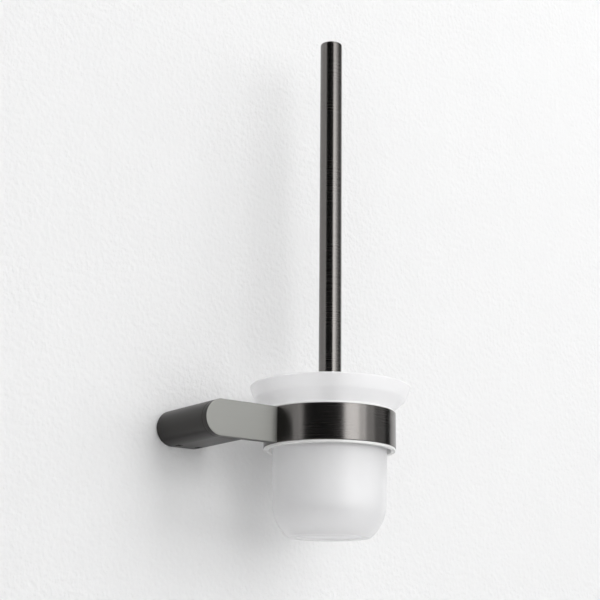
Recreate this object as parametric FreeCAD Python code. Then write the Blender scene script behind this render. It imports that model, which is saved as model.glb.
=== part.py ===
"""Wall-mounted toilet brush holder: post and arm, support ring, frosted glass cup and brush.

Units are millimetres. +Z is up, +X runs along the wall from the post towards the ring, and +Y
points into the wall. The origin is the centre of the post's wall face.
"""
import FreeCAD, Part
import math
import os

Vector = FreeCAD.Vector

# --- Driving dimensions ---------------------------------------------------------------------

# Post, arm and ring are made from the same height of stock.
STRIP_HEIGHT = 25.0
POST_WIDTH = 42.0
POST_WALL = 2.5
POST_FRONT_WALL = 4.0
ARM_THICKNESS = 5.0
ARM_REACH = 15.0                # clear length of arm between post and ring
ARM_PROUD_OF_AXIS = 1.5         # arm's front face, ahead of the ring's axis
RING_OUTER_R = 46.0
RING_THICKNESS = 2.5
RING_EDGE_R = 0.5
ARM_CHAMFER = 0.5
SEAM_CHAMFER = 0.35             # both sides of the seam between post and arm

# Soft liner that lines the ring and carries the glass.
LINER_WALL = 0.9
LINER_LIP_THICKNESS = 1.1
LINER_LIP_INSET = 0.7           # lip's edge, inside the ring's outer face
LINER_FLANGE_THICKNESS = 1.6
LINER_FLANGE_INSET = 0.35
LINER_GROOVE_WIDTH = 0.8
LINER_GROOVE_DEPTH = 0.7
LINER_EDGE_R = 0.35

# Glass cup, heights from the ring's top edge.
CUP_TAPER = 1.9                 # the side's loss of radius from neck to corner
CUP_FOOT_INSET = 10.6           # foot's edge, inside the side's lower end
CUP_FOOT_DROP = 85.9
CUP_CORNER_RISE = 8.4           # where the side and the foot's slope would meet
CUP_CORNER_R = 26.0
CUP_WALL = 3.2
CUP_BASE = 7.0
CUP_INNER_CORNER_R = 20.0
CUP_FOOT_RECESS = 1.0
CUP_FOOT_LAND = 4.0
CUP_FLARE_DEG = 39.4            # slope of the dish above the horizontal
CUP_FLARE_INSET = 0.8           # dish's slope at the ring's top, inside the liner's sleeve
CUP_RIM_OVERHANG = 10.5         # rim beyond the ring's outer face
CUP_RIM_LEAN = 3.3              # rim's gain of radius above the knuckle
CUP_RIM_HEIGHT = 18.9
CUP_OFF_WALL = 5.0              # rim to wall
CUP_NECK_FILLET = 4.0
CUP_KNUCKLE_FILLET = 3.0

# Brush.
HANDLE_R = 8.0
HANDLE_TUBE_WALL = 1.2
HANDLE_TOP = 278.5              # above the ring's top edge
HANDLE_CAP_THICKNESS = 3.0
HANDLE_CAP_SPIGOT = 9.0
HANDLE_CAP_EDGE_R = 0.9
HANDLE_BUSH_LENGTH = 22.0
STUD_R = 4.0
STUD_IN_BUSH = 18.0
STUD_IN_CORE = 12.0
THREAD_SPARE_DEPTH = 2.0
WASHER_THICKNESS = 1.5
WASHER_INSET = 0.5              # washer's edge, inside the handle's surface
CORE_R = 11.0
CORE_COLLAR_STEP = 1.5
CORE_COLLAR_HEIGHT = 4.0
CORE_EDGE_R = 1.0
ROW_PITCH = 10.0
ROW_COUNT = 6
ROW_GAP = 0.3

# Wall bracket and fasteners.
BRACKET_DEPTH = 12.0
BRACKET_EDGE_R = 1.0
WALL_SCREW_SPACING = 19.0
WALL_SCREW_R = 2.25
WALL_SCREW_HEAD_R = 4.4
WALL_SCREW_NECK_R = 1.8          # plain neck under the head, through the bracket
WALL_SCREW_LENGTH = 38.0
WALL_SCREW_TIP = 4.0
ARM_SCREW_SPACING = 19.0
ARM_SCREW_R = 2.0
ARM_SCREW_HEAD_R = 3.8
ARM_SCREW_BITE = 3.6
ARM_SCREW_TIP = 0.8
ARM_SCREW_SPARE = 0.4
SCREW_HEAD_RIM = 0.3            # straight edge of a countersunk head
GRUB_SCREW_SPACING = 16.0
GRUB_SCREW_OFF_WALL = 9.0
GRUB_SCREW_R = 2.5
GRUB_SCREW_RECESS = 0.3
GRUB_SOCKET_ACROSS = 2.5
GRUB_SOCKET_DEPTH = 2.0
GRUB_DIMPLE_DEPTH = 0.8
CROSS_RECESS_WIDTH = 1.1

# --- Clearances -----------------------------------------------------------------------------

BODY_GAP = 0.3                  # between pieces that move apart
BRACKET_GAP = 0.3               # bracket inside the post
RUNNING_GAP = 0.05              # radial, screws in their holes
LINER_GAP = 0.05                # liner in the ring, radially and at its lip and flange
GLASS_SEAT_GAP = 0.35           # dish to the liner's seat, square to the slope
CUP_NECK_GAP = 2.1              # cup's neck inside the liner
BOND_GAP = 0.02                 # radial, plugs bonded or pressed into the handle tube
BRISTLE_GAP = 0.8               # bristle tips to the cup's inner wall
BRISTLE_FLOOR_GAP = 0.5         # bristle tips to the cup's floor

# --- Places worked out from them ------------------------------------------------------------

RING_TOP = STRIP_HEIGHT / 2
RING_BOTTOM = -STRIP_HEIGHT / 2
RING_INNER_R = RING_OUTER_R - RING_THICKNESS
LINER_INNER_R = RING_INNER_R - LINER_WALL
CUP_NECK_R = LINER_INNER_R - CUP_NECK_GAP
CUP_LOWER_R = CUP_NECK_R - CUP_TAPER
CUP_FOOT_R = CUP_LOWER_R - CUP_FOOT_INSET
CUP_FLARE_R = LINER_INNER_R - CUP_FLARE_INSET
CUP_RIM_R = RING_OUTER_R + CUP_RIM_OVERHANG
CUP_KNUCKLE_R = CUP_RIM_R - CUP_RIM_LEAN
RING_AXIS_X = POST_WIDTH / 2 + ARM_REACH + RING_OUTER_R
RING_AXIS_Y = -(CUP_RIM_R + CUP_OFF_WALL)
ARM_FRONT_Y = RING_AXIS_Y - ARM_PROUD_OF_AXIS
POST_DEPTH = -ARM_FRONT_Y - ARM_THICKNESS
CUP_FLARE = math.tan(math.radians(CUP_FLARE_DEG))
CUP_FOOT_Z = RING_TOP - CUP_FOOT_DROP
CUP_FLOOR_Z = CUP_FOOT_Z + CUP_BASE
CUP_RIM_Z = RING_TOP + CUP_RIM_HEIGHT
HEAD_BOTTOM = CUP_FLOOR_Z + BRISTLE_FLOOR_GAP
CORE_BOTTOM = HEAD_BOTTOM + ROW_PITCH - ROW_GAP
CORE_TOP = HEAD_BOTTOM + ROW_PITCH * (ROW_COUNT + 1) + CORE_COLLAR_HEIGHT
CORE_COLLAR_R = CORE_R + CORE_COLLAR_STEP
WASHER_OUTER_R = HANDLE_R - WASHER_INSET
WASHER_BOTTOM = CORE_TOP + BODY_GAP
HANDLE_BOTTOM = WASHER_BOTTOM + WASHER_THICKNESS + BODY_GAP
HANDLE_TOP_Z = RING_TOP + HANDLE_TOP
HANDLE_BORE_R = HANDLE_R - HANDLE_TUBE_WALL


# --- Shape helpers --------------------------------------------------------------------------

def corner_arc(before, here, after, radius):
    """Start, middle and end of the arc that rounds one corner of an outline."""
    if radius <= 0:
        return here, here, here
    back = (before - here).normalize()
    ahead = (after - here).normalize()
    half = back.getAngle(ahead) / 2
    reach = radius / math.tan(half)
    inward = (back + ahead).normalize()
    centre = here + inward * (radius / math.sin(half))
    return here + back * reach, centre - inward * radius, here + ahead * reach


def outline_face(corners):
    """Face in the XZ plane from (x, z, corner radius) corners, taken in order."""
    points = [Vector(x, 0, z) for x, z, _ in corners]
    count = len(corners)
    arcs = []
    for i in range(count):
        arcs.append(corner_arc(points[i - 1], points[i], points[(i + 1) % count], corners[i][2]))
    edges = []
    for i in range(count):
        start, middle, end = arcs[i]
        previous_end = arcs[i - 1][2]
        if previous_end.distanceToPoint(start) > 1e-6:
            edges.append(Part.LineSegment(previous_end, start).toShape())
        if corners[i][2] > 0:
            edges.append(Part.Arc(start, middle, end).toShape())
    return Part.Face(Part.Wire(edges))


def turned(corners, x=RING_AXIS_X, y=RING_AXIS_Y):
    """Solid of revolution about the vertical line at x, y."""
    solid = outline_face(corners).revolve(Vector(0, 0, 0), Vector(0, 0, 1), 360)
    solid.translate(Vector(x, y, 0))
    return solid


def tube(outer_r, inner_r, bottom, top, x=RING_AXIS_X, y=RING_AXIS_Y):
    """Vertical tube, or a rod where inner_r is 0."""
    solid = Part.makeCylinder(outer_r, top - bottom, Vector(x, y, bottom))
    if inner_r > 0:
        solid = solid.cut(Part.makeCylinder(inner_r, top - bottom, Vector(x, y, bottom)))
    return solid


def obround(width, height, back_y, depth):
    """Bar with round ends, its long axis along X, running from back_y away from the wall."""
    end_r = height / 2
    reach = width / 2 - end_r
    edges = [
        Part.LineSegment(Vector(-reach, back_y, end_r), Vector(reach, back_y, end_r)),
        Part.Arc(Vector(reach, back_y, end_r), Vector(reach + end_r, back_y, 0),
                 Vector(reach, back_y, -end_r)),
        Part.LineSegment(Vector(reach, back_y, -end_r), Vector(-reach, back_y, -end_r)),
        Part.Arc(Vector(-reach, back_y, -end_r), Vector(-reach - end_r, back_y, 0),
                 Vector(-reach, back_y, end_r)),
    ]
    face = Part.Face(Part.Wire([edge.toShape() for edge in edges]))
    return face.extrude(Vector(0, -depth, 0))


def edges_at_y(shape, y):
    """Edges of a shape that lie in the plane at y."""
    return [edge for edge in shape.Edges
            if abs(edge.BoundBox.YMin - y) < 1e-4 and abs(edge.BoundBox.YMax - y) < 1e-4]


def pair(spacing):
    """X places of a symmetric pair."""
    return (-spacing / 2, spacing / 2)


def countersunk(shank_r, head_r, length, x, head_y, tip_length, neck=None):
    """Countersunk screw along +Y, its flat head at head_y, with a cross recess.

    neck is the radius and end of a thinner part of the shank under the head.
    """
    neck_r, neck_end = neck or (shank_r, None)
    corners = [
        (0, 0, 0),
        (head_r, 0, 0),
        (head_r, SCREW_HEAD_RIM, 0),
        (neck_r, SCREW_HEAD_RIM + head_r - neck_r, 0),
    ]
    if neck:
        corners += [(neck_r, neck_end, 0), (shank_r, neck_end, 0)]
    corners += [
        (shank_r, length - tip_length, 0),
        (shank_r * 0.25, length, 0),
        (0, length, 0),
    ]
    screw = turned(corners, 0, 0)
    reach = head_r * 0.6
    for turn in (0, 90):
        blade = Part.makeBox(2 * reach, CROSS_RECESS_WIDTH, head_r * 0.45,
                             Vector(-reach, -CROSS_RECESS_WIDTH / 2, 0))
        blade.rotate(Vector(0, 0, 0), Vector(0, 0, 1), turn)
        screw = screw.cut(blade)
    screw.rotate(Vector(0, 0, 0), Vector(1, 0, 0), -90)
    screw.translate(Vector(x, head_y, 0))
    return screw


def countersunk_hole(shank_r, head_r, x, head_y, depth):
    """Tool that cuts the hole for a countersunk screw with running clearance."""
    gap = RUNNING_GAP
    sink = head_r - shank_r
    corners = [
        (0, -1, 0),
        (head_r + gap, -1, 0),
        (head_r + gap, SCREW_HEAD_RIM + gap, 0),
        (shank_r + gap, SCREW_HEAD_RIM + gap + sink, 0),
        (shank_r + gap, depth, 0),
        (0, depth, 0),
    ]
    tool = turned(corners, 0, 0)
    tool.rotate(Vector(0, 0, 0), Vector(1, 0, 0), -90)
    tool.translate(Vector(x, head_y, 0))
    return tool


# --- Holder: post, arm, ring, liner and wall fixing ------------------------------------------

def post_shell():
    """Hollow post, open at the wall, with a front wall that the arm is screwed to."""
    post = obround(POST_WIDTH, STRIP_HEIGHT, 0, POST_DEPTH)
    post = post.makeChamfer(SEAM_CHAMFER, edges_at_y(post, -POST_DEPTH))
    hollow = obround(POST_WIDTH - 2 * POST_WALL, STRIP_HEIGHT - 2 * POST_WALL,
                     0, POST_DEPTH - POST_FRONT_WALL)
    post = post.cut(hollow)
    head_y = POST_FRONT_WALL - POST_DEPTH
    for x in pair(ARM_SCREW_SPACING):
        hole = countersunk_hole(ARM_SCREW_R, ARM_SCREW_HEAD_R, x, head_y, 2 * POST_FRONT_WALL)
        hole.rotate(Vector(x, head_y, 0), Vector(0, 0, 1), 180)
        post = post.cut(hole)
    for x in pair(GRUB_SCREW_SPACING):
        post = post.cut(tube(GRUB_SCREW_R + RUNNING_GAP, 0, RING_BOTTOM - 1, 0,
                             x, -GRUB_SCREW_OFF_WALL))
    return post


def arm_plate():
    """Flat arm across the post's front, cut to the ring it is welded to."""
    length = RING_AXIS_X + POST_WIDTH / 2
    plate = obround(2 * length, STRIP_HEIGHT, -POST_DEPTH, ARM_THICKNESS)
    plate.translate(Vector(length - POST_WIDTH / 2, 0, 0))
    plate = plate.makeChamfer(ARM_CHAMFER, edges_at_y(plate, ARM_FRONT_Y))
    plate = plate.makeChamfer(SEAM_CHAMFER, edges_at_y(plate, -POST_DEPTH))
    keep = Part.makeBox(length, 4 * ARM_THICKNESS, 2 * STRIP_HEIGHT,
                        Vector(-POST_WIDTH / 2, ARM_FRONT_Y - ARM_THICKNESS, -STRIP_HEIGHT))
    plate = plate.common(keep)
    plate = plate.cut(tube(RING_OUTER_R, 0, -STRIP_HEIGHT, STRIP_HEIGHT))
    for x in pair(ARM_SCREW_SPACING):
        plate = plate.cut(Part.makeCylinder(ARM_SCREW_R + RUNNING_GAP,
                                            ARM_SCREW_BITE + ARM_SCREW_SPARE,
                                            Vector(x, -POST_DEPTH, 0), Vector(0, -1, 0)))
    return plate


def arm_screws():
    """Two screws from inside the post into the arm."""
    head_y = POST_FRONT_WALL - POST_DEPTH
    length = POST_FRONT_WALL + ARM_SCREW_BITE
    screws = []
    for x in pair(ARM_SCREW_SPACING):
        screw = countersunk(ARM_SCREW_R, ARM_SCREW_HEAD_R, length, x, head_y, ARM_SCREW_TIP)
        screw.rotate(Vector(x, head_y, 0), Vector(0, 0, 1), 180)
        screws.append(screw)
    return Part.makeCompound(screws)


def support_ring():
    """Band that carries the liner and the cup."""
    edge = RING_EDGE_R
    inner_edge = edge / 2
    return turned([
        (RING_INNER_R, RING_BOTTOM, inner_edge),
        (RING_OUTER_R, RING_BOTTOM, edge),
        (RING_OUTER_R, RING_TOP, edge),
        (RING_INNER_R, RING_TOP, inner_edge),
    ])


def flare_height(radius):
    """Height of the dish's underside at a radius, on its straight slope."""
    return RING_TOP + (radius - CUP_FLARE_R) * CUP_FLARE


def ring_liner():
    """Soft liner: sleeve inside the ring, seat above it and grooved flange below it."""
    lip_r = RING_OUTER_R - LINER_LIP_INSET
    lip_bottom = RING_TOP + LINER_GAP
    lip_top = lip_bottom + LINER_LIP_THICKNESS
    sleeve_r = RING_INNER_R - LINER_GAP
    seat_gap = GLASS_SEAT_GAP / math.cos(math.radians(CUP_FLARE_DEG))
    seat_inner_z = flare_height(LINER_INNER_R) - seat_gap
    seat_outer_r = LINER_INNER_R + (lip_top - seat_inner_z) / CUP_FLARE
    flange_r = RING_OUTER_R - LINER_FLANGE_INSET
    flange_top = RING_BOTTOM - LINER_GAP
    flange_bottom = flange_top - LINER_FLANGE_THICKNESS
    liner = turned([
        (LINER_INNER_R, flange_bottom, LINER_EDGE_R),
        (flange_r, flange_bottom, LINER_EDGE_R),
        (flange_r, flange_top, 0),
        (sleeve_r, flange_top, 0),
        (sleeve_r, lip_bottom, 0),
        (lip_r, lip_bottom, 0),
        (lip_r, lip_top, LINER_EDGE_R),
        (seat_outer_r, lip_top, 0),
        (LINER_INNER_R, seat_inner_z, 0),
    ])
    groove_r = (flange_r + RING_INNER_R) / 2
    groove = tube(groove_r + LINER_GROOVE_WIDTH / 2, groove_r - LINER_GROOVE_WIDTH / 2,
                  flange_bottom - 1, flange_bottom + LINER_GROOVE_DEPTH)
    return liner.cut(groove)


def wall_bracket():
    """Block fixed to the wall, which the post slides over and is clamped to."""
    width = POST_WIDTH - 2 * (POST_WALL + BRACKET_GAP)
    height = STRIP_HEIGHT - 2 * (POST_WALL + BRACKET_GAP)
    block = obround(width, height, 0, BRACKET_DEPTH)
    block = block.makeChamfer(BRACKET_EDGE_R, edges_at_y(block, -BRACKET_DEPTH))
    for x in pair(WALL_SCREW_SPACING):
        block = block.cut(countersunk_hole(WALL_SCREW_R, WALL_SCREW_HEAD_R, x,
                                           -BRACKET_DEPTH, 2 * BRACKET_DEPTH))
    for x in pair(GRUB_SCREW_SPACING):
        block = block.cut(tube(GRUB_SCREW_R + RUNNING_GAP, 0, -height,
                               GRUB_DIMPLE_DEPTH - height / 2, x, -GRUB_SCREW_OFF_WALL))
    return block


def wall_screws():
    """Two countersunk screws through the bracket into the wall."""
    return Part.makeCompound([
        countersunk(WALL_SCREW_R, WALL_SCREW_HEAD_R, WALL_SCREW_LENGTH, x, -BRACKET_DEPTH,
                    WALL_SCREW_TIP, neck=(WALL_SCREW_NECK_R, BRACKET_DEPTH))
        for x in pair(WALL_SCREW_SPACING)
    ])


def grub_screws():
    """Two socket set screws that clamp the post to its bracket from below."""
    bracket_bottom = -(STRIP_HEIGHT / 2 - POST_WALL - BRACKET_GAP)
    bottom = RING_BOTTOM + GRUB_SCREW_RECESS
    top = bracket_bottom + GRUB_DIMPLE_DEPTH - RUNNING_GAP
    socket_r = GRUB_SOCKET_ACROSS / math.sqrt(3)
    screws = []
    for x in pair(GRUB_SCREW_SPACING):
        screw = turned([
            (0, bottom, 0),
            (GRUB_SCREW_R, bottom, 0),
            (GRUB_SCREW_R, top - 0.6, 0),
            (GRUB_SCREW_R - 0.6, top, 0),
            (0, top, 0),
        ], x, -GRUB_SCREW_OFF_WALL)
        corners = []
        for step in range(7):
            turn = math.radians(60 * step)
            corners.append(Vector(x + socket_r * math.cos(turn),
                                  -GRUB_SCREW_OFF_WALL + socket_r * math.sin(turn), bottom))
        socket = Part.Face(Part.makePolygon(corners)).extrude(Vector(0, 0, GRUB_SOCKET_DEPTH))
        screws.append(screw.cut(socket))
    return Part.makeCompound(screws)


# --- Cup ------------------------------------------------------------------------------------

def cup_side_r(z):
    """Outer radius of the cup's tapered side at a height."""
    neck_z = flare_height(CUP_NECK_R)
    low_z = CUP_FOOT_Z + CUP_CORNER_RISE
    share = (neck_z - z) / (neck_z - low_z)
    return CUP_NECK_R - (CUP_NECK_R - CUP_LOWER_R) * share


def glass_cup():
    """Frosted cup: flared dish rim, tapered side, large corner and flat foot."""
    neck_z = flare_height(CUP_NECK_R)
    low_z = CUP_FOOT_Z + CUP_CORNER_RISE
    knuckle_z = flare_height(CUP_KNUCKLE_R)
    rim_lean = math.atan2(CUP_RIM_R - CUP_KNUCKLE_R, CUP_RIM_Z - knuckle_z)
    flare = math.radians(CUP_FLARE_DEG)
    # Inside of the dish: the same slopes, one wall thickness in.
    rim_in = CUP_WALL / math.cos(rim_lean)
    flare_up = CUP_WALL / math.cos(flare)
    lean = math.tan(rim_lean)
    # Where the two inner slopes of the dish meet.
    inner_knuckle_r = (CUP_KNUCKLE_R - rim_in + (flare_up - CUP_KNUCKLE_R * CUP_FLARE) * lean) \
        / (1 - CUP_FLARE * lean)
    inner_knuckle_z = knuckle_z + flare_up + (inner_knuckle_r - CUP_KNUCKLE_R) * CUP_FLARE
    inner_neck_r = CUP_NECK_R - CUP_WALL
    inner_neck_z = neck_z + flare_up + (inner_neck_r - CUP_NECK_R) * CUP_FLARE
    rim_round = 0.45 * CUP_WALL
    cup = turned([
        (0, CUP_FOOT_Z, 0),
        (CUP_FOOT_R, CUP_FOOT_Z, 0.8),
        (CUP_LOWER_R, low_z, CUP_CORNER_R),
        (CUP_NECK_R, neck_z, CUP_NECK_FILLET),
        (CUP_KNUCKLE_R, knuckle_z, CUP_KNUCKLE_FILLET),
        (CUP_RIM_R, CUP_RIM_Z, rim_round),
        (CUP_RIM_R - rim_in, CUP_RIM_Z, rim_round),
        (inner_knuckle_r, inner_knuckle_z, CUP_KNUCKLE_FILLET + CUP_WALL),
        (inner_neck_r, inner_neck_z, CUP_NECK_FILLET + CUP_WALL),
        (cup_side_r(CUP_FLOOR_Z) - CUP_WALL, CUP_FLOOR_Z, CUP_INNER_CORNER_R),
        (0, CUP_FLOOR_Z, 0),
    ])
    recess_r = CUP_FOOT_R - CUP_FOOT_LAND
    recess = turned([
        (0, CUP_FOOT_Z - 1, 0),
        (recess_r, CUP_FOOT_Z - 1, 0),
        (recess_r - 2 * CUP_FOOT_RECESS, CUP_FOOT_Z + CUP_FOOT_RECESS, CUP_FOOT_RECESS),
        (0, CUP_FOOT_Z + CUP_FOOT_RECESS, 0),
    ])
    return cup.cut(recess)


# --- Brush ----------------------------------------------------------------------------------

def handle_tube():
    """Plain round tube of the handle."""
    return tube(HANDLE_R, HANDLE_BORE_R, HANDLE_BOTTOM, HANDLE_TOP_Z - HANDLE_CAP_THICKNESS)


def handle_end_cap():
    """Flat end cap with a slightly rounded edge and a spigot in the tube."""
    seat = HANDLE_TOP_Z - HANDLE_CAP_THICKNESS
    spigot_r = HANDLE_BORE_R - BOND_GAP
    return turned([
        (0, seat - HANDLE_CAP_SPIGOT, 0),
        (spigot_r, seat - HANDLE_CAP_SPIGOT, 0.5),
        (spigot_r, seat, 0),
        (HANDLE_R, seat, 0),
        (HANDLE_R, HANDLE_TOP_Z, HANDLE_CAP_EDGE_R),
        (0, HANDLE_TOP_Z, 0),
    ])


def handle_bush():
    """Plug in the tube's lower end that holds the stud."""
    return tube(HANDLE_BORE_R - BOND_GAP, STUD_R + BOND_GAP,
                HANDLE_BOTTOM, HANDLE_BOTTOM + HANDLE_BUSH_LENGTH)


def handle_stud():
    """Stud that screws into the brush head."""
    tip = CORE_TOP - STUD_IN_CORE
    return turned([
        (0, tip, 0),
        (STUD_R - 0.8, tip, 0),
        (STUD_R, tip + 0.8, 0),
        (STUD_R, HANDLE_BOTTOM + STUD_IN_BUSH, 0),
        (0, HANDLE_BOTTOM + STUD_IN_BUSH, 0),
    ])


def seal_washer():
    """Rubber washer between the handle and the brush head."""
    return tube(WASHER_OUTER_R, STUD_R + BODY_GAP, WASHER_BOTTOM, WASHER_BOTTOM + WASHER_THICKNESS)


def brush_core():
    """Moulded core that carries the bristle tufts, with a threaded hole in its collar."""
    collar_bottom = CORE_TOP - CORE_COLLAR_HEIGHT
    core = turned([
        (0, CORE_BOTTOM, 0),
        (CORE_R, CORE_BOTTOM, 0),
        (CORE_R, collar_bottom, 0),
        (CORE_COLLAR_R, collar_bottom, 0.4),
        (CORE_COLLAR_R, CORE_TOP, CORE_EDGE_R),
        (0, CORE_TOP, 0),
    ])
    hole_bottom = CORE_TOP - STUD_IN_CORE - THREAD_SPARE_DEPTH
    return core.cut(tube(STUD_R + RUNNING_GAP, 0, hole_bottom, CORE_TOP + 1))


def bristle_envelope():
    """Space that the bristles fill: the cup's inside, less the clearance."""
    top = CORE_TOP
    return turned([
        (0, HEAD_BOTTOM, 0),
        (cup_side_r(CUP_FLOOR_Z) - CUP_WALL - BRISTLE_GAP, HEAD_BOTTOM,
         CUP_INNER_CORNER_R - BRISTLE_GAP),
        (cup_side_r(CUP_FLOOR_Z) - CUP_WALL - BRISTLE_GAP, top, 0),
        (0, top, 0),
    ])


def bristle_band(row):
    """Bristles of one level, counted from the crown at the bottom, which is row 0."""
    bottom = HEAD_BOTTOM + ROW_PITCH * row
    band = tube(2 * CUP_NECK_R, 0, bottom, bottom + ROW_PITCH - ROW_GAP)
    bristles = bristle_envelope().common(band)
    if row == 0:
        return bristles
    return bristles.cut(tube(CORE_R, 0, CORE_BOTTOM, CORE_TOP))


# --- Build ----------------------------------------------------------------------------------

def build_parts():
    """Every sub-part by node name."""
    parts = {
        "post_shell": post_shell(),
        "arm_plate": arm_plate(),
        "arm_screws": arm_screws(),
        "support_ring": support_ring(),
        "ring_liner": ring_liner(),
        "wall_bracket": wall_bracket(),
        "wall_screws": wall_screws(),
        "grub_screws": grub_screws(),
        "glass_cup": glass_cup(),
        "handle_tube": handle_tube(),
        "handle_end_cap": handle_end_cap(),
        "handle_bush": handle_bush(),
        "handle_stud": handle_stud(),
        "seal_washer": seal_washer(),
        "brush_core": brush_core(),
        "bristle_crown": bristle_band(0),
    }
    for row in range(1, ROW_COUNT + 1):
        parts["bristle_row_" + str(row)] = bristle_band(row)
    return parts


def main():
    """Write one STEP file per sub-part."""
    os.makedirs("parts", exist_ok=True)
    for name, shape in build_parts().items():
        shape.exportStep("parts/" + name + ".step")
        print(name, "solids", len(shape.Solids), "volume", round(shape.Volume, 1),
              "valid", shape.isValid())


main()
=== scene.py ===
"""Looks of a wall-mounted toilet brush holder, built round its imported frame."""

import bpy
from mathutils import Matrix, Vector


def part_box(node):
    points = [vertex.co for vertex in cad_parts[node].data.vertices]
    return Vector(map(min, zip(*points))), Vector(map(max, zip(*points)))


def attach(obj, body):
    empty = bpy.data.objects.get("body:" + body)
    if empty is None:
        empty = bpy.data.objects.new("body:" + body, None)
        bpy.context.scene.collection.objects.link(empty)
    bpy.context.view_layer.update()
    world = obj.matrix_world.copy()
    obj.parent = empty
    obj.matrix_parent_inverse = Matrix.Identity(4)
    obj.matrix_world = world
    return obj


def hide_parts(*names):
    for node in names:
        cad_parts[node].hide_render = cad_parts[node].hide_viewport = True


bl_info = {
    "name": "Toilet brush holder",
    "version": (1, 0, 0),
    "blender": (4, 5, 0),
    "location": "3D View > Sidebar > Brush Holder",
    "description": "Builds a wall-mounted toilet brush holder with a frosted cup, and its stage",
    "category": "Add Mesh",
}

import math
import random

import bmesh
import bpy
from bpy.props import FloatProperty, FloatVectorProperty, IntProperty, PointerProperty
from bpy.types import Operator, Panel, PropertyGroup
from mathutils import Matrix, Vector

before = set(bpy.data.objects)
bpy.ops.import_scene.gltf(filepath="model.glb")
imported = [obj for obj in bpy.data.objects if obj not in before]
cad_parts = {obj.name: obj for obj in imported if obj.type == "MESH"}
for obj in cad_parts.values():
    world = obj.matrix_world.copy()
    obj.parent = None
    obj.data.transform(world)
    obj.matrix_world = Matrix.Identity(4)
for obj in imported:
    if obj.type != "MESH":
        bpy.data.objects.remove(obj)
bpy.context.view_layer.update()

MM = 0.001
BOXES = {name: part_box(name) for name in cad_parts}
AXIS = (BOXES["glass_cup"][0] + BOXES["glass_cup"][1]) / 2
AXIS.z = 0
ROWS = sorted(name for name in BOXES if name.startswith("bristle_row_"))
SHARP = math.radians(32)         # faces that meet at a larger angle get a sharp edge
PAST = 1.0 * MM                  # how far a cutter starts outside what it cuts
NEAR = 0.01 * MM                 # distance below which two places count as one


def low(node):
    """Lowest corner of a node."""
    return BOXES[node][0]


def high(node):
    """Highest corner of a node."""
    return BOXES[node][1]


def radius_of(node):
    """Largest radius of a node that is round about a vertical line."""
    return (high(node).x - low(node).x) / 2


def radius_of_pair(node, spacing):
    """Radius of the upright screws of a pair."""
    return (high(node).x - low(node).x - spacing) / 2


def both_sides(spacing):
    """Places of two things a spacing apart, left and right of the middle."""
    return -spacing / 2, spacing / 2


# --- Settings -------------------------------------------------------------------------------


def length(name, description, value):
    """A size in metres."""
    return FloatProperty(
        name=name, description=description, default=value, min=0.0,
        precision=5, subtype="DISTANCE", unit="LENGTH",
    )


def share(name, description, value):
    """A number from nought to one."""
    return FloatProperty(
        name=name, description=description, default=value, min=0.0, max=1.0, subtype="FACTOR",
    )


def colour(name, description, value):
    """A colour."""
    return FloatVectorProperty(
        name=name, description=description, default=value, size=3, min=0.0, max=1.0,
        subtype="COLOR",
    )


class HolderSizes(PropertyGroup):
    """Sizes of the metal holder."""

    post_wall: length("Post wall", "Thickness of the post's side wall", 2.5 * MM)
    post_front: length("Post front", "Thickness of the post's front wall", 4.0 * MM)
    seam: length("Seam chamfer", "Chamfer each side of the seam between post and arm", 0.35 * MM)
    wall_edge: length("Wall edge", "Chamfer of the post's edge at the wall", 0.2 * MM)
    arm_edge: length("Arm edge", "Rounding of the arm's front edge", 0.5 * MM)
    arm_hole: length("Arm hole", "Depth of a screw's hole in the arm", 4.0 * MM)
    ring_wall: length("Ring wall", "Thickness of the ring", 2.5 * MM)
    ring_edge: length("Ring edge", "Rounding of the ring's outer edges", 0.5 * MM)
    bracket_edge: length("Bracket edge", "Rounding of the bracket's front edge", 0.6 * MM)
    grub_spacing: length("Set screw spacing", "Distance between the two set screws", 16.0 * MM)
    grub_mouth: length("Set screw mouth", "Chamfer of a set screw's hole", 0.25 * MM)
    grub_dimple: length("Set screw dimple", "Depth of a set screw's dimple in the bracket",
                        0.8 * MM)
    grub_point: length("Set screw point", "Chamfer of a set screw's point", 0.6 * MM)
    grub_key: length("Set screw key", "Width across the flats of a set screw's socket",
                     2.5 * MM)
    grub_socket: length("Set screw socket", "Depth of a set screw's socket", 2.0 * MM)
    screw_spacing: length("Screw spacing", "Distance between the wall screws, and the arm's",
                          19.0 * MM)
    screw_rim: length("Screw rim", "Height of the straight rim of a countersunk head", 0.3 * MM)
    arm_screw_head: length("Arm screw head", "Radius of an arm screw's head", 3.8 * MM)
    arm_screw: length("Arm screw", "Radius of an arm screw's shank", 2.0 * MM)
    wall_screw_head: length("Wall screw head", "Radius of a wall screw's head", 4.4 * MM)
    wall_screw: length("Wall screw", "Radius of a wall screw's thread", 2.25 * MM)
    wall_screw_root: length("Wall screw root", "Radius at the root of that thread", 1.55 * MM)
    wall_screw_neck: length("Wall screw neck", "Radius of its plain neck", 1.8 * MM)
    wall_screw_pitch: length("Wall screw pitch", "Rise of that thread in a turn", 1.8 * MM)
    wall_screw_tip: length("Wall screw tip", "Length of its tapered tip", 5.0 * MM)
    hole_gap: length("Hole clearance", "Clearance of a screw in its hole, to the side", 0.05 * MM)


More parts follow.
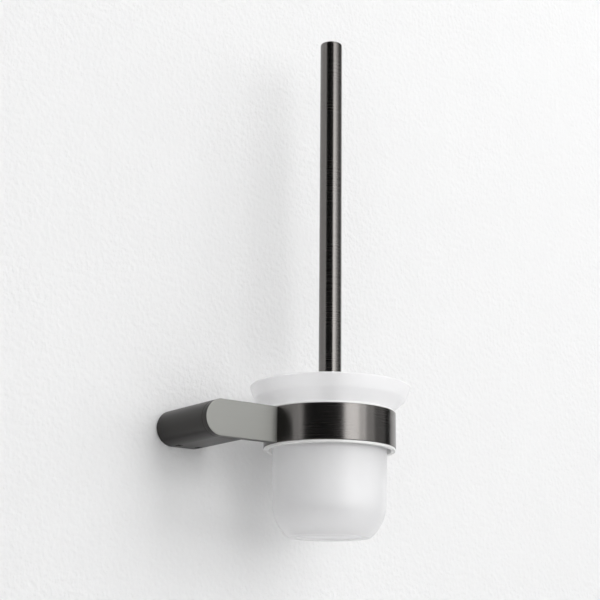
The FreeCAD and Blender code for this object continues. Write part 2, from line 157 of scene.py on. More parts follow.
class CupSizes(PropertyGroup):
    """Sizes of the frosted cup and its liner."""

    wall: length("Glass wall", "Thickness of the glass", 3.2 * MM)
    base: length("Glass base", "Thickness of the cup's base", 7.0 * MM)
    neck: length("Neck radius", "Radius of the side at its top", 40.5 * MM)
    side: length("Side radius", "Radius of the side at its bottom", 38.6 * MM)
    side_rise: length("Side rise", "Height above the foot where the side ends", 8.4 * MM)
    corner: length("Corner", "Outer rounding between side and foot", 26.0 * MM)
    inner_corner: length("Inner corner", "Inner rounding between side and floor", 20.0 * MM)
    foot: length("Foot radius", "Radius of the flat foot", 28.0 * MM)
    foot_land: length("Foot land", "Width of the foot and the slope inside it", 5.0 * MM)
    foot_recess: length("Foot recess", "Depth of the recess in the foot", 1.0 * MM)
    flare_start: length("Flare start", "Radius of the dish level with the ring's top",
                        41.8 * MM)
    overhang: length("Overhang", "Reach of the rim past the ring", 10.5 * MM)
    lean: length("Rim lean", "Gain of radius from the dish's knuckle to its rim", 3.3 * MM)
    neck_bend: length("Neck bend", "Rounding between side and dish", 4.0 * MM)
    knuckle_bend: length("Knuckle bend", "Rounding between dish and rim", 3.0 * MM)
    flare: FloatProperty(name="Flare", description="Slope of the dish above level",
                         default=math.radians(39.4), subtype="ANGLE", unit="ROTATION")
    steps: IntProperty(name="Steps", description="Flat steps round the cup", default=144, min=24)
    liner_wall: length("Liner wall", "Thickness of the liner's sleeve", 0.85 * MM)
    liner_gap: length("Liner clearance", "Clearance between liner and ring", 0.05 * MM)
    liner_inset: length("Liner inset", "Edge of the liner's lip, inside the ring's", 0.7 * MM)
    liner_edge: length("Liner edge", "Rounding of the liner's edges", 0.35 * MM)
    groove_width: length("Groove width", "Width of the groove under the liner", 0.8 * MM)
    groove_depth: length("Groove depth", "Depth of that groove", 0.7 * MM)
    seat_gap: length("Seat clearance", "Clearance between the liner's seat and the dish",
                     0.35 * MM)
    seat_inset: length("Seat inset", "Start of the dish's slope, inside the sleeve", 0.8 * MM)


class BrushSizes(PropertyGroup):
    """Sizes of the brush."""

    tube_wall: length("Tube wall", "Thickness of the handle's tube", 1.2 * MM)
    cap_edge: length("Cap edge", "Rounding of the handle's top edge", 1.4 * MM)
    plug_gap: length("Plug clearance", "Clearance of cap and bush in the tube", 0.02 * MM)
    bush_hole: length("Bush hole", "Radius of the bush's hole", 4.02 * MM)
    thread_pitch: length("Thread pitch", "Rise of the stud's thread in a turn", 1.25 * MM)
    thread_depth: length("Thread depth", "Depth of the stud's thread", 0.7 * MM)
    washer_hole: length("Washer hole", "Radius of the washer's hole", 4.3 * MM)
    core: length("Core radius", "Radius of the core that carries the tufts", 11.0 * MM)
    core_hole: length("Core hole", "Radius of the core's hole for the stud", 4.05 * MM)
    core_hole_depth: length("Core hole depth", "Depth of that hole", 13.0 * MM)
    collar: length("Collar", "Height of the core's collar", 4.0 * MM)
    tufts: IntProperty(name="Tufts", description="Tufts in each row", default=14, min=3)
    filaments: IntProperty(name="Filaments", description="Filaments in each tuft", default=44,
                           min=3)
    filament: length("Filament radius", "Radius of one bristle filament", 0.2 * MM)
    tuft_root: length("Tuft root", "Radius of a tuft where it leaves the core", 1.5 * MM)
    tuft_tip: length("Tuft tip", "Radius of a tuft at its tips", 4.5 * MM)
    head_corner: length("Head corner", "Rounding of the bristles round the bottom", 19.2 * MM)


class FinishSettings(PropertyGroup):
    """Colours and finishes."""

    metal: colour("Metal", "Colour of the gunmetal coating", (0.168, 0.16, 0.154))
    # The arm's colour is the gunmetal lightened: a painted highlight for the light its front face
    # reflects, not a different coating.
    arm: colour("Arm", "Colour of the arm's lighter coating", (0.29, 0.291, 0.276))
    metal_roughness: share("Metal roughness", "Roughness of the brushed metal", 0.27)
    glass: colour("Glass", "Tint of the frosted glass", (0.988, 0.986, 0.992))
    glass_roughness: share("Frost", "Roughness of the frosted glass", 0.44)
    liner: colour("Liner", "Colour of the liner", (0.86, 0.86, 0.85))
    plastic: colour("Plastic", "Colour of the brush core", (0.88, 0.88, 0.87))
    bristle: colour("Bristles", "Colour of the bristles", (0.93, 0.94, 0.95))
    wall: colour("Wall", "Colour of the plastered wall", (0.86, 0.86, 0.862))


# --- Mesh helpers ---------------------------------------------------------------------------


def round_corner(bm, vert, rounding):
    """Round one corner of an outline that is still only edges."""
    if rounding <= 0:
        return
    here = vert.co.copy()
    arms = [(edge.other_vert(vert).co - here).normalized() for edge in vert.link_edges]
    half = arms[0].angle(arms[1]) / 2
    bends = math.pi - 2 * half
    segments = max(3, min(24, round(bends * (3 + rounding / MM * 0.6))))
    bmesh.ops.bevel(
        bm, geom=[vert], offset=rounding / math.tan(half), offset_type="OFFSET",
        segments=segments, profile=0.5, affect="VERTICES", material=-1, clamp_overlap=False,
    )


def hold_edges(bm, reach, shortest):
    """Add a point close to each end of every long edge, so that shading stays near corners."""
    for edge in [e for e in bm.edges if e.calc_length() > shortest]:
        first, last = edge.verts
        _, point = bmesh.utils.edge_split(edge, first, reach / edge.calc_length())
        rest = next(e for e in point.link_edges if last in e.verts)
        bmesh.utils.edge_split(rest, last, reach / rest.calc_length())


def turned(corners, steps=128, centre=(0, 0), hold=True):
    """Turn an outline of (radius, height, rounding) corners about a vertical line."""
    bm = bmesh.new()
    verts = [bm.verts.new((r, 0, z)) for r, z, _ in corners]
    on_axis = corners[0][0] == 0 and corners[-1][0] == 0
    for a, b in zip(verts, verts[1:]):
        bm.edges.new((a, b))
    if not on_axis:
        bm.edges.new((verts[-1], verts[0]))
    for vert, (_, _, rounding) in zip(verts, corners):
        round_corner(bm, vert, rounding)
    if hold:
        hold_edges(bm, 0.12 * MM, 1.5 * MM)
    bmesh.ops.spin(
        bm, geom=bm.verts[:] + bm.edges[:], cent=(0, 0, 0), axis=(0, 0, 1), dvec=(0, 0, 0),
        angle=math.tau, steps=steps, use_merge=True, use_duplicate=False,
    )
    bmesh.ops.remove_doubles(bm, verts=bm.verts, dist=1e-7)
    bmesh.ops.recalc_face_normals(bm, faces=bm.faces)
    bmesh.ops.translate(bm, verts=bm.verts, vec=(centre[0], centre[1], 0))
    return bm


def lay_along_y(bm, x, start, way=1):
    """Turn a shape made upright to lie along Y, one way or the other, from x and start."""
    turn = Matrix.Rotation(math.radians(-90 * way), 4, "X")
    bmesh.ops.transform(bm, matrix=Matrix.Translation((x, start, 0)) @ turn, verts=bm.verts)
    return bm


def plate(lowest, highest, y, left_round, right_round):
    """Upright flat face at y with rounded left and right corners."""
    bm = bmesh.new()
    made = bmesh.ops.create_grid(bm, x_segments=1, y_segments=1, size=0.5)
    bmesh.ops.rotate(bm, verts=made["verts"], cent=(0, 0, 0),
                     matrix=Matrix.Rotation(math.radians(90), 3, "X"))
    size = highest - lowest
    bmesh.ops.scale(bm, verts=made["verts"], vec=(size.x, 1, size.z))
    middle = (lowest + highest) / 2
    bmesh.ops.translate(bm, verts=made["verts"], vec=(middle.x, y, middle.z))
    for side, rounding in ((-1, left_round), (1, right_round)):
        ends = [v for v in bm.verts if (v.co.x - middle.x) * side > 0.49 * size.x]
        if rounding > 0:
            bmesh.ops.bevel(
                bm, geom=ends, offset=rounding, offset_type="OFFSET", segments=24,
                profile=0.5, affect="VERTICES", material=-1, clamp_overlap=False,
            )
    bmesh.ops.remove_doubles(bm, verts=bm.verts, dist=1e-6)
    return bm


def pull(bm, faces, by):
    """Extrude faces and move the new ones."""
    made = bmesh.ops.extrude_face_region(bm, geom=faces)
    moved = [g for g in made["geom"] if isinstance(g, bmesh.types.BMVert)]
    bmesh.ops.translate(bm, verts=moved, vec=by)
    return [g for g in made["geom"] if isinstance(g, bmesh.types.BMFace)]


def soften(bm, y, offset, segments=3, only=None):
    """Bevel the edges that lie in the plane at y."""
    edges = [
        e for e in bm.edges
        if all(abs(v.co.y - y) < 1e-6 for v in e.verts) and len(e.link_faces) == 2
        and e.calc_face_angle() > SHARP and (only is None or only(e))
    ]
    bmesh.ops.bevel(
        bm, geom=edges, offset=offset, offset_type="OFFSET", segments=segments, profile=0.5,
        affect="EDGES", material=-1, clamp_overlap=True,
    )


def slice_at(bm, point, normal):
    """Add a loop of edges where a plane crosses the mesh."""
    bmesh.ops.bisect_plane(bm, geom=bm.verts[:] + bm.edges[:] + bm.faces[:], dist=1e-7,
                           plane_co=point, plane_no=normal)


def threaded(crest, root, pitch, bottom, top, steps=32):
    """Threaded rod about the vertical line through the origin: one tooth, as radii and shares
    of the pitch, is spun past both ends, and the ends are cut flat."""
    bm = bmesh.new()
    tooth = [(root, 0.0), (root, 0.16), (crest, 0.46), (crest, 0.6), (root, 0.9), (root, 1.0)]
    verts = [bm.verts.new((r, 0, bottom + (z - 2) * pitch)) for r, z in tooth]
    for a, b in zip(verts, verts[1:]):
        bm.edges.new((a, b))
    turns = math.ceil((top - bottom) / pitch) + 3
    bmesh.ops.spin(
        bm, geom=bm.verts[:] + bm.edges[:], cent=(0, 0, 0), axis=(0, 0, 1),
        dvec=(0, 0, pitch / steps), angle=math.tau * turns, steps=steps * turns,
        use_merge=False, use_duplicate=False,
    )
    bmesh.ops.remove_doubles(bm, verts=bm.verts, dist=2e-6)
    for height, way in ((bottom, -1), (top, 1)):
        bmesh.ops.bisect_plane(
            bm, geom=bm.verts[:] + bm.edges[:] + bm.faces[:], dist=1e-7,
            plane_co=(0, 0, height), plane_no=(0, 0, way), clear_outer=True,
        )
    bmesh.ops.holes_fill(bm, edges=[e for e in bm.edges if e.is_boundary], sides=0)
    bmesh.ops.recalc_face_normals(bm, faces=bm.faces)
    return bm


def narrow_end(bm, start, end, smallest):
    """Taper a rod about the vertical line towards its end."""
    for vert in bm.verts:
        along = (vert.co.z - start) / (end - start)
        if along > 0:
            factor = 1 - (1 - smallest) * min(along, 1)
            vert.co.x *= factor
            vert.co.y *= factor


def screw_hole(sizes, x, y, way, head_r, shank_r, depth):
    """Cutter for a countersunk screw's hole that runs from y along Y, one way or the other."""
    rim = sizes.screw_rim + sizes.hole_gap
    head_r, shank_r = head_r + sizes.hole_gap, shank_r + sizes.hole_gap
    bm = turned([
        (0, -PAST, 0), (head_r, -PAST, 0), (head_r, rim, 0),
        (shank_r, rim + head_r - shank_r, 0), (shank_r, depth, 0), (0, depth, 0)],
        steps=48, hold=False)
    return lay_along_y(bm, x, y, way)


def cross_cutter(x, y, reach, depth, slot):
    """Cutter for a cross recess in a screw head that faces the front, narrower inside."""
    bm = bmesh.new()
    for turn in (0, 90):
        made = bmesh.ops.create_cube(bm, size=1.0)
        bmesh.ops.scale(bm, verts=made["verts"], vec=(2 * reach, 2 * depth, slot))
        far = [v for v in made["verts"] if v.co.y > 0]
        bmesh.ops.scale(bm, verts=far, vec=(0.55, 1, 0.7))
        bmesh.ops.rotate(bm, verts=made["verts"], cent=(0, 0, 0),
                         matrix=Matrix.Rotation(math.radians(turn), 3, "Y"))
    bmesh.ops.translate(bm, verts=bm.verts, vec=(x, y, 0))
    return bm


def join(bm, other):
    """Add one bmesh to another and free it."""
    mesh = bpy.data.meshes.new("joined")
    other.to_mesh(mesh)
    other.free()
    bm.from_mesh(mesh)
    bpy.data.meshes.remove(mesh)


def join_carved(bm, name, other, cutter):
    """Add a bmesh to another after a closed shape is cut out of it."""
    piece = new_object(name, other)
    carve(piece, [cutter])
    bm.from_mesh(piece.data)
    bpy.data.objects.remove(piece)


def smooth_faces(mesh):
    """Shade smooth, with sharp edges where faces meet at more than the sharp angle."""
    bm = bmesh.new()
    bm.from_mesh(mesh)
    for face in bm.faces:
        face.smooth = True
    for edge in bm.edges:
        edge.smooth = len(edge.link_faces) != 2 or edge.calc_face_angle() < SHARP
    bm.to_mesh(mesh)
    bm.free()


def new_object(name, bm):
    """Object at the origin from a bmesh."""
    mesh = bpy.data.meshes.new(name)
    bm.to_mesh(mesh)
    bm.free()
    made = bpy.data.objects.new(name, mesh)
    bpy.context.scene.collection.objects.link(made)
    return made


def carve(piece, cutters):
    """Cut closed shapes out of a piece."""
    tools = [new_object("cutter", bm) for bm in cutters]
    for tool in tools:
        change = piece.modifiers.new("Cut", "BOOLEAN")
        change.operation = "DIFFERENCE"
        change.solver = "EXACT"
        change.object = tool
    graph = bpy.context.evaluated_depsgraph_get()
    mesh = bpy.data.meshes.new_from_object(piece.evaluated_get(graph))
    piece.modifiers.clear()
    piece.data = mesh
    mesh.name = piece.name
    for tool in tools:
        bpy.data.objects.remove(tool)


def place(piece, material, body, slot, *nodes):
    """Give a finished piece its material and its body, and hide the nodes it stands for; the slot
    is not used.
    """
    smooth_faces(piece.data)
    piece.data.materials.clear()
    piece.data.materials.append(material)
    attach(piece, body)
    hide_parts(*nodes)
    return piece


def made_piece(name, bm, material, body, slot, *nodes):
    """Finished piece from a bmesh."""
    return place(new_object(name, bm), material, body, slot, *nodes)


# --- Node helpers ---------------------------------------------------------------------------


def add(tree, kind, inputs=None, **settings):
    """Node of a kind with its inputs and settings."""
    made = tree.nodes.new(kind)
    for key, value in settings.items():
        setattr(made, key, value)
    for key, value in (inputs or {}).items():
        socket = made.inputs[key]
        if isinstance(value, bpy.types.NodeSocket):
            tree.links.new(value, socket)
        else:
            socket.default_value = value
    return made


def new_group(name, inputs, outputs):
    """Empty node group with its sockets; gives the tree and its two end nodes."""
    tree = bpy.data.node_groups.new(name, "ShaderNodeTree")
    for label, kind, value in inputs:
        socket = tree.interface.new_socket(label, in_out="INPUT", socket_type=kind)
        if value is not None:
            socket.default_value = value
    for label, kind in outputs:
        tree.interface.new_socket(label, in_out="OUTPUT", socket_type=kind)
    return tree, tree.nodes.new("NodeGroupInput"), tree.nodes.new("NodeGroupOutput")


FLOAT, COLOR, VECTOR = "NodeSocketFloat", "NodeSocketColor", "NodeSocketVector"


def stretched_noise(tree, vector, scale, detail=2.0, roughness=0.5):
    """Noise on a vector that is multiplied by a scale on each axis first."""
    moved = add(tree, "ShaderNodeVectorMath", {0: vector, 1: scale}, operation="MULTIPLY")
    return add(tree, "ShaderNodeTexNoise",
               {"Vector": moved.outputs[0], "Scale": 1.0, "Detail": detail,
                "Roughness": roughness}).outputs["Fac"]


def spread(tree, value, low_in, high_in, low_out, high_out):
    """Range of a value mapped to another."""
    return add(tree, "ShaderNodeMapRange",
               {"Value": value, "From Min": low_in, "From Max": high_in,
                "To Min": low_out, "To Max": high_out}).outputs["Result"]


def brushed_lines():
    """Group: fine level lines left by brushing, over broad ones and faint clouds."""
    name = "Brushed lines"
    if name in bpy.data.node_groups:
        return bpy.data.node_groups[name]
    tree, start, end = new_group(
        name,
        [("Vector", VECTOR, None), ("Color", COLOR, (0.16, 0.16, 0.16, 1)),
         ("Roughness", FLOAT, 0.3)],
        [("Color", COLOR), ("Roughness", FLOAT), ("Height", FLOAT)],
    )
    vector = start.outputs["Vector"]
    fine = stretched_noise(tree, vector, (22, 22, 5200), 3.0, 0.65)
    broad = stretched_noise(tree, vector, (9, 9, 900), 2.0)
    cloud = stretched_noise(tree, vector, (30, 30, 45), 2.0)
    lines = add(tree, "ShaderNodeMath", {0: fine, 1: broad}, operation="ADD").outputs[0]
    shade = spread(tree, lines, 0.6, 1.4, 0.985, 1.015)
    tint = add(tree, "ShaderNodeVectorMath",
               {0: start.outputs["Color"], "Scale": shade}, operation="SCALE").outputs[0]
    tree.links.new(tint, end.inputs["Color"])
    worn = spread(tree, fine, 0.3, 0.7, -0.006, 0.006)
    patchy = spread(tree, cloud, 0.3, 0.7, -0.005, 0.005)
    rough = add(tree, "ShaderNodeMath", {0: start.outputs["Roughness"], 1: worn},
                operation="ADD").outputs[0]
    rough = add(tree, "ShaderNodeMath", {0: rough, 1: patchy}, operation="ADD").outputs[0]
    tree.links.new(rough, end.inputs["Roughness"])
    tree.links.new(fine, end.inputs["Height"])
    return tree


def moulded_grain():
    """Group: faint grain and mottling of a moulded or cast surface."""
    name = "Moulded grain"
    if name in bpy.data.node_groups:
        return bpy.data.node_groups[name]
    tree, start, end = new_group(
        name,
        [("Vector", VECTOR, None), ("Color", COLOR, (0.8, 0.8, 0.8, 1)),
         ("Roughness", FLOAT, 0.5), ("Grain", FLOAT, 1500.0), ("Mottle", FLOAT, 0.06)],
        [("Color", COLOR), ("Roughness", FLOAT), ("Height", FLOAT)],
    )
    vector = start.outputs["Vector"]
    grain = add(tree, "ShaderNodeTexNoise",
                {"Vector": vector, "Scale": start.outputs["Grain"], "Detail": 3.0}).outputs["Fac"]
    cloud = stretched_noise(tree, vector, (60, 60, 60), 3.0)
    darker = add(tree, "ShaderNodeMath", {0: 1.0, 1: start.outputs["Mottle"]},
                 operation="SUBTRACT").outputs[0]
    shade = add(tree, "ShaderNodeMapRange",
                {"Value": cloud, "From Min": 0.3, "From Max": 0.7, "To Min": darker,
                 "To Max": 1.0}).outputs["Result"]
    tint = add(tree, "ShaderNodeVectorMath",
               {0: start.outputs["Color"], "Scale": shade}, operation="SCALE").outputs[0]
    tree.links.new(tint, end.inputs["Color"])
    rough = add(tree, "ShaderNodeMath",
                {0: start.outputs["Roughness"], 1: spread(tree, grain, 0.3, 0.7, -0.05, 0.05)},
                operation="ADD").outputs[0]
    tree.links.new(rough, end.inputs["Roughness"])
    tree.links.new(grain, end.inputs["Height"])
    return tree


def new_material(name):
    """Material with a Principled shader; gives the material, its tree and the shader."""
    material = bpy.data.materials.new(name)
    material.use_nodes = True
    tree = material.node_tree
    shader = next(n for n in tree.nodes if n.type == "BSDF_PRINCIPLED")
    return material, tree, shader


def blend_shaders(tree, factor, first, second):
    """Show one shader, and another where the factor is one."""
    mix = add(tree, "ShaderNodeMixShader", {0: factor, 1: first.outputs[0], 2: second.outputs[0]})
    end = next(n for n in tree.nodes if n.type in ("OUTPUT_MATERIAL", "OUTPUT_WORLD"))
    tree.links.new(mix.outputs[0], end.inputs["Surface"])


def two_tones(tree, shader, factor, first, second):
    """Colour a shader from one tone to another."""
    mixed = add(tree, "ShaderNodeMix", {0: factor}, data_type="RGBA")
    mixed.inputs["A"].default_value = (*first, 1)
    mixed.inputs["B"].default_value = (*second, 1)
    tree.links.new(mixed.outputs["Result"], shader.inputs["Base Color"])


def connect_surface(tree, shader, group, vector, inputs, bump, distance):
    """Feed a shader from a group that puts out a colour, a roughness and a height."""
    made = add(tree, "ShaderNodeGroup", node_tree=group)
    tree.links.new(vector, made.inputs["Vector"])
    for key, value in inputs.items():
        made.inputs[key].default_value = value
    tree.links.new(made.outputs["Color"], shader.inputs["Base Color"])
    tree.links.new(made.outputs["Roughness"], shader.inputs["Roughness"])
    relief = add(tree, "ShaderNodeBump",
                 {"Strength": bump, "Distance": distance, "Height": made.outputs["Height"]})
    tree.links.new(relief.outputs["Normal"], shader.inputs["Normal"])


def brushed_metal(name, tint, roughness, scale=(1, 1, 1), anisotropy=0.0, bump=0.01):
    """Brushed metal with its lines level, or stretched by a scale."""
    if name in bpy.data.materials:
        return bpy.data.materials[name]
    material, tree, shader = new_material(name)
    spot = add(tree, "ShaderNodeTexCoord").outputs["Object"]
    mapping = add(tree, "ShaderNodeMapping",
                  {"Vector": spot, "Location": (-AXIS.x, -AXIS.y, 0), "Scale": scale})
    connect_surface(tree, shader, brushed_lines(), mapping.outputs[0],
                    {"Color": (*tint, 1), "Roughness": roughness}, bump, 0.02 * MM)
    shader.inputs["Metallic"].default_value = 1.0
    shader.inputs["Anisotropic"].default_value = anisotropy
    shader.inputs["Anisotropic Rotation"].default_value = 0.25 if anisotropy else 0.0
    return material


def moulded(name, tint, roughness, metallic=0.0, grain=1500.0, mottle=0.06, bump=0.2,
            subsurface=0.0):
    """Moulded plastic or rubber, or cast or plated metal."""
    if name in bpy.data.materials:
        return bpy.data.materials[name]
    material, tree, shader = new_material(name)
    spot = add(tree, "ShaderNodeTexCoord").outputs["Object"]
    connect_surface(tree, shader, moulded_grain(), spot,
                    {"Color": (*tint, 1), "Roughness": roughness, "Grain": grain,
                     "Mottle": mottle}, bump, 0.05 * MM)
    shader.inputs["Metallic"].default_value = metallic
    if subsurface:
        shader.inputs["Subsurface Weight"].default_value = subsurface
        shader.inputs["Subsurface Radius"].default_value = (1.0, 1.0, 1.0)
        shader.inputs["Subsurface Scale"].default_value = 2 * MM
    return material


def gunmetal():
    """Coated metal of the ring and the handle, brushed round them."""
    finish = bpy.context.scene.holder_finish
    return brushed_metal("Gunmetal, brushed round", finish.metal, finish.metal_roughness,
                         anisotropy=0.72)


def gunmetal_painted_highlight():
    """Coated metal of the arm's front, brushed along it, its colour lightened well above the
    gunmetal as a painted highlight.
    """
    finish = bpy.context.scene.holder_finish
    return brushed_metal("Gunmetal, brushed along", finish.arm,
                         finish.metal_roughness + 0.14,
                         scale=(1, 1, 0.6), bump=0.08)


def gunmetal_painted_shade():
    """Coated metal of the post and the arm's sides, satin with faint lines along its depth, its
    colour darkened to about a quarter of the gunmetal as painted shade.
    """
    finish = bpy.context.scene.holder_finish
    # Darkened to about a quarter of the gunmetal: painted shade.
    return brushed_metal("Gunmetal, satin", [0.27 * c for c in finish.metal],
                         finish.metal_roughness + 0.1,
                         scale=(14, 0.5, 0.15), bump=0.03)


def bright_steel():
    """Bright zinc-plated steel of the screws and the stud."""
    return moulded("Bright plated steel", (0.62, 0.62, 0.6), 0.28, metallic=1.0, grain=900.0,
                   mottle=0.18, bump=0.05)


def black_steel():
    """Blackened steel of the set screws."""
    return moulded("Black steel", (0.05, 0.05, 0.052), 0.38, metallic=1.0, grain=900.0,
                   mottle=0.2, bump=0.08)


def cast_zinc():
    """Tumbled zinc casting of the bracket."""
    return moulded("Cast zinc", (0.46, 0.46, 0.47), 0.46, metallic=1.0, grain=700.0,
                   mottle=0.2, bump=0.35)


def white_liner():
    """Soft white plastic of the liner."""
    return moulded("White liner", bpy.context.scene.holder_finish.liner, 0.42, subsurface=0.2)


def white_plastic():
    """White plastic of the brush core."""
    return moulded("White plastic", bpy.context.scene.holder_finish.plastic, 0.4,
                   subsurface=0.2)


def black_rubber():
    """Black rubber of the washer."""
    return moulded("Black rubber", (0.018, 0.018, 0.018), 0.62, grain=2200.0, mottle=0.2)


def bristle_nylon():
    """White nylon of the bristles, a little uneven from tuft to tuft."""
    name = "White bristle"
    if name in bpy.data.materials:
        return bpy.data.materials[name]
    tint = bpy.context.scene.holder_finish.bristle
    material, tree, shader = new_material(name)
    spot = add(tree, "ShaderNodeTexCoord").outputs["Object"]
    cloud = stretched_noise(tree, spot, (170, 170, 170), 1.0)
    two_tones(tree, shader, cloud, [c * 0.93 for c in tint], tint)
    tree.links.new(spread(tree, cloud, 0.3, 0.7, 0.36, 0.46), shader.inputs["Roughness"])
    shader.inputs["IOR"].default_value = 1.53
    shader.inputs["Subsurface Weight"].default_value = 0.6
    shader.inputs["Subsurface Radius"].default_value = (1.0, 1.0, 1.0)
    shader.inputs["Subsurface Scale"].default_value = 4 * MM
    return material


def frosted_glass():
    """Acid-etched glass, milky and softly rough on both faces, that lets lamps light the brush."""
    name = "Frosted glass"
    if name in bpy.data.materials:
        return bpy.data.materials[name]
    finish = bpy.context.scene.holder_finish
    material, tree, shader = new_material(name)
    spot = add(tree, "ShaderNodeTexCoord").outputs["Object"]
    connect_surface(tree, shader, moulded_grain(), spot,
                    {"Color": (*finish.glass, 1), "Roughness": finish.glass_roughness,
                     "Grain": 1100.0, "Mottle": 0.025}, 0.12, 0.05 * MM)
    shader.inputs["Transmission Weight"].default_value = 0.5
    shader.inputs["Specular IOR Level"].default_value = 0.4
    shader.inputs["IOR"].default_value = 1.45
    clear = add(tree, "ShaderNodeBsdfTransparent", {"Color": (0.97, 0.97, 0.97, 1)})
    rays = add(tree, "ShaderNodeLightPath")
    blend_shaders(tree, rays.outputs["Is Shadow Ray"], shader, clear)
    return material


# --- Operators: holder ----------------------------------------------------------------------


class BRUSHHOLDER_OT_post(Operator):
    """Make the hollow post with its set screw holes"""

    bl_idname = "brushholder.post"
    bl_label = "Post"

    def execute(self, context):
        sizes = context.scene.holder_sizes
        lowest, highest = BOXES["post_shell"]
        end_r = (highest.z - lowest.z) / 2
        bm = plate(lowest, highest, highest.y, end_r, end_r)
        pull(bm, bm.faces[:], (0, lowest.y - highest.y, 0))
        bmesh.ops.recalc_face_normals(bm, faces=bm.faces)
        back = max(bm.faces, key=lambda f: f.normal.y)
        bmesh.ops.inset_region(bm, faces=[back], thickness=sizes.post_wall, use_even_offset=True)
        inside = max(bm.faces, key=lambda f: (round(f.normal.y, 3), -f.calc_perimeter()))
        pull(bm, [inside], (0, lowest.y + sizes.post_front - highest.y, 0))
        bmesh.ops.recalc_face_normals(bm, faces=bm.faces)
        soften(bm, lowest.y, sizes.seam)
        soften(bm, highest.y, sizes.wall_edge, 2)
        for y in (lowest.y + 2 * sizes.seam, highest.y - 2 * sizes.wall_edge):
            slice_at(bm, (0, y, 0), (0, 1, 0))
        post = new_object("post", bm)
        hole_r = radius_of_pair("grub_screws", sizes.grub_spacing) + sizes.hole_gap
        cutters = []
        middle = (low("grub_screws").y + high("grub_screws").y) / 2
        mouth_r = hole_r + sizes.grub_mouth + PAST
        end = lowest.z + 2 * sizes.post_wall
        for x in both_sides(sizes.grub_spacing):
            cutters.append(turned([
                (0, lowest.z - PAST, 0), (mouth_r, lowest.z - PAST, 0),
                (hole_r, lowest.z + sizes.grub_mouth, 0), (hole_r, end, 0), (0, end, 0)],
                steps=48, centre=(x, middle), hold=False))
        for x in both_sides(sizes.screw_spacing):
            cutters.append(screw_hole(
                sizes, x, lowest.y + sizes.post_front, -1, sizes.arm_screw_head,
                sizes.arm_screw, 2 * sizes.post_front))
        carve(post, cutters)
        place(post, gunmetal_painted_shade(), "holder", "gunmetal", "post_shell")
        return {"FINISHED"}


class BRUSHHOLDER_OT_arm(Operator):
    """Make the arm from the post to the ring"""

    bl_idname = "brushholder.arm"
    bl_label = "Arm"

    def execute(self, context):
        sizes = context.scene.holder_sizes
        lowest, highest = BOXES["arm_plate"]
        bm = plate(lowest, highest, highest.y, (highest.z - lowest.z) / 2, 0)
        pull(bm, bm.faces[:], (0, lowest.y - highest.y, 0))
        bmesh.ops.recalc_face_normals(bm, faces=bm.faces)
        end = highest.x - NEAR

        def away_from_ring(edge):
            return min(v.co.x for v in edge.verts) < end

        soften(bm, lowest.y, sizes.arm_edge, 3, away_from_ring)
        soften(bm, highest.y, sizes.seam, 2, away_from_ring)
        # Loops of edges next to the bevels keep the flat faces flat in the shading.
        slice_at(bm, (0, lowest.y + 1.6 * sizes.arm_edge, 0), (0, 1, 0))
        slice_at(bm, (0, highest.y - 1.8 * sizes.seam, 0), (0, 1, 0))
        front = min(bm.faces, key=lambda f: (round(f.normal.y, 3), -f.calc_area()))
        bmesh.ops.inset_region(bm, faces=[front], thickness=sizes.arm_edge / 2,
                               use_even_offset=True)
        arm = new_object("arm", bm)
        hole_r, depth = sizes.arm_screw + sizes.hole_gap, sizes.arm_hole
        cutters = []
        for x in both_sides(sizes.screw_spacing):
            hole = turned([(0, -depth, 0), (hole_r, -depth, 0), (hole_r, depth, 0),
                           (0, depth, 0)], steps=48, hold=False)
            cutters.append(lay_along_y(hole, x, highest.y))
        carve(arm, cutters)
        place(arm, gunmetal_painted_highlight(), "holder", "gunmetal", "arm_plate")
        # The arm's front faces get the lightened gunmetal, a painted highlight; its other faces
        # get the darkened one, painted shade.
        arm.data.materials.append(gunmetal_painted_shade())
        for face in arm.data.polygons:
            faces_front = face.normal.y < -0.5
            face.material_index = 0 if faces_front else 1
        return {"FINISHED"}


class BRUSHHOLDER_OT_ring(Operator):
    """Make the ring that carries the liner and the cup"""

    bl_idname = "brushholder.ring"
    bl_label = "Ring"

    def execute(self, context):
        sizes = context.scene.holder_sizes
        outer = radius_of("support_ring")
        bottom, top = low("support_ring").z, high("support_ring").z
        inner = outer - sizes.ring_wall
        edge = sizes.ring_edge
        bm = turned([(inner, bottom, edge / 2), (outer, bottom, edge), (outer, top, edge),
                     (inner, top, edge / 2)], steps=192, centre=AXIS)
        made_piece("ring", bm, gunmetal(), "holder", "gunmetal", "support_ring")
        return {"FINISHED"}


